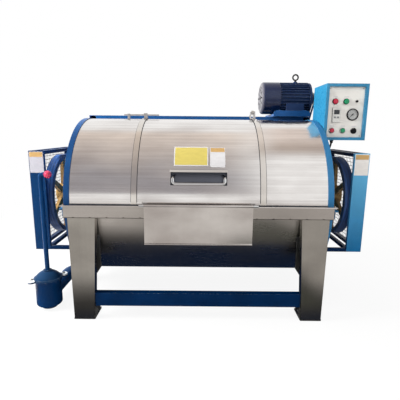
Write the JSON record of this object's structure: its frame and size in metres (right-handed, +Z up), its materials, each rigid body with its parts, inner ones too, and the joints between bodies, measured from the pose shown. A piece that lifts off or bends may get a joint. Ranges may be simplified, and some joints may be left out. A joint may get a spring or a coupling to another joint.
{
  "type": "industrial washing machine",
  "caption": "Horizontal drum washer with a stainless housing on clad legs, sliding arc door, hinged flap, belt drive behind side guards, top motor, control box and drain valve.",
  "frame": {"origin": "on the floor, at the centre of the four floor anchor holes, below the drum axis", "axes": "+X along the drum axis to the operator's right, -Y to the front, +Z up"},
  "size_m": [2.346, 1.4319, 1.704],
  "materials": {
    "stainless": "satin, brushed along the drum",
    "blue_paint": "gloss enamel",
    "navy_paint": "gloss enamel",
    "chrome": "polished",
    "cast_iron": "as cast, lightly rusted",
    "steel": "turned",
    "belt_rubber": "matt",
    "cable": "matt",
    "motor_paint": "semi-gloss enamel",
    "panel": "satin powder coat",
    "black_plastic": "moulded",
    "red_plastic": "moulded",
    "green_plastic": "moulded",
    "seal": "moulded"
  },
  "bodies": {
    "frame": {"trough": "stainless", "left_upper_cover": "stainless", "right_upper_cover": "stainless", "centre_rear_cover": "stainless", "door_guides": "stainless", "door_catches": "stainless", "front_apron": "stainless", "rear_apron": "stainless", "legs": "stainless", "flap_hinges": "stainless", "left_end_plate": "blue_paint", "right_end_plate": "blue_paint", "bearing_brackets": "blue_paint", "rear_frame": "blue_paint", "motor_base": "blue_paint", "left_guard_panel": "blue_paint", "right_guard_panel": "blue_paint", "guard_meshes": "blue_paint", "guard_brackets": "blue_paint", "control_box": "blue_paint", "control_box_bracket": "blue_paint", "drain_pipe": "blue_paint", "drum_bearings": "blue_paint", "jackshaft_bearings": "blue_paint", "lower_beams": "navy_paint", "leg_saddles": "navy_paint", "foot_plates": "navy_paint", "drain_valve_body": "navy_paint", "drain_valve_lid": "navy_paint", "motor_eyebolt": "steel", "drum_belts": "belt_rubber", "motor_belts": "belt_rubber", "control_cable": "cable", "motor_frame": "motor_paint", "motor_fan_cowl": "motor_paint", "control_panel": "panel", "panel_instruments": "black_plastic", "shaft_seals": "seal"},
    "door": {"door_skin": "stainless", "door_handle_pan": "stainless", "door_handle_bar": "chrome"},
    "drum": {"drum_wall": "stainless", "drum_ends": "stainless", "drum_shafts": "steel", "drum_lifters": "stainless", "left_drum_pulley": "cast_iron", "right_drum_pulley": "cast_iron"},
    "inner_door": {"inner_door": "stainless"},
    "jackshaft": {"jackshaft": "steel", "jackshaft_pulleys": "cast_iron"},
    "motor_rotor": {"motor_rotor": "steel"},
    "flap": {"flap": "stainless"},
    "drain_lift": {"drain_rod": "blue_paint", "drain_knob": "red_plastic"},
    "upper_red_button": {"upper_red_button": "red_plastic"},
    "upper_green_button": {"upper_green_button": "green_plastic"},
    "lower_red_button": {"lower_red_button": "red_plastic"},
    "lower_green_button": {"lower_green_button": "green_plastic"},
    "selector_knob": {"selector_knob": "black_plastic"},
    "gauge_pointer": {"gauge_pointer": "black_plastic"}
  },
  "joints": [
    {"name": "door_slide_round", "type": "hinge", "parent": "frame", "child": "door", "pos_m": [0, 0, 0.74], "axis": [-1, 0, 0], "range_deg": [0, 80]},
    {"name": "drum_spin", "type": "hinge", "parent": "frame", "child": "drum", "pos_m": [0, 0, 0.74], "axis": [1, 0, 0], "continuous": true},
    {"name": "inner_door_slide", "type": "hinge", "parent": "drum", "child": "inner_door", "pos_m": [0, 0, 0.74], "axis": [-1, 0, 0], "range_deg": [0, 50]},
    {"name": "jackshaft_spin", "type": "hinge", "parent": "frame", "child": "jackshaft", "pos_m": [0, 0.6, 0.96], "axis": [1, 0, 0], "continuous": true},
    {"name": "motor_spin", "type": "hinge", "parent": "frame", "child": "motor_rotor", "pos_m": [0.985, 0.33, 1.505], "axis": [1, 0, 0], "continuous": true},
    {"name": "flap_hinge", "type": "hinge", "parent": "frame", "child": "flap", "pos_m": [0, -0.6385, 0.773], "axis": [-1, 0, 0], "range_deg": [0, 100]},
    {"name": "drain_lift", "type": "slide", "parent": "frame", "child": "drain_lift", "axis": [0, 0, 1], "range_m": [0, 0.06]},
    {"name": "upper_red_button_press", "type": "slide", "parent": "frame", "child": "upper_red_button", "axis": [0, 1, 0], "range_m": [0, 0.004], "stiffness_N_per_m": 400},
    {"name": "upper_green_button_press", "type": "slide", "parent": "frame", "child": "upper_green_button", "axis": [0, 1, 0], "range_m": [0, 0.004], "stiffness_N_per_m": 400},
    {"name": "lower_red_button_press", "type": "slide", "parent": "frame", "child": "lower_red_button", "axis": [0, 1, 0], "range_m": [0, 0.004], "stiffness_N_per_m": 400},
    {"name": "lower_green_button_press", "type": "slide", "parent": "frame", "child": "lower_green_button", "axis": [0, 1, 0], "range_m": [0, 0.004], "stiffness_N_per_m": 400},
    {"name": "selector_turn", "type": "hinge", "parent": "frame", "child": "selector_knob", "pos_m": [1.07155, -0.258, 1.238], "axis": [0, 1, 0], "range_deg": [-45, 45]},
    {"name": "gauge_pointer_turn", "type": "hinge", "parent": "frame", "child": "gauge_pointer", "pos_m": [1.05527, -0.258, 1.348], "axis": [0, 1, 0], "range_deg": [0, 270], "stiffness_Nm_per_rad": 0.0005}
  ],
  "couplings": [
    {"joint": "jackshaft_spin", "follows": "drum_spin", "ratio": 5.566},
    {"joint": "motor_spin", "follows": "drum_spin", "ratio": 21.646}
  ]
}
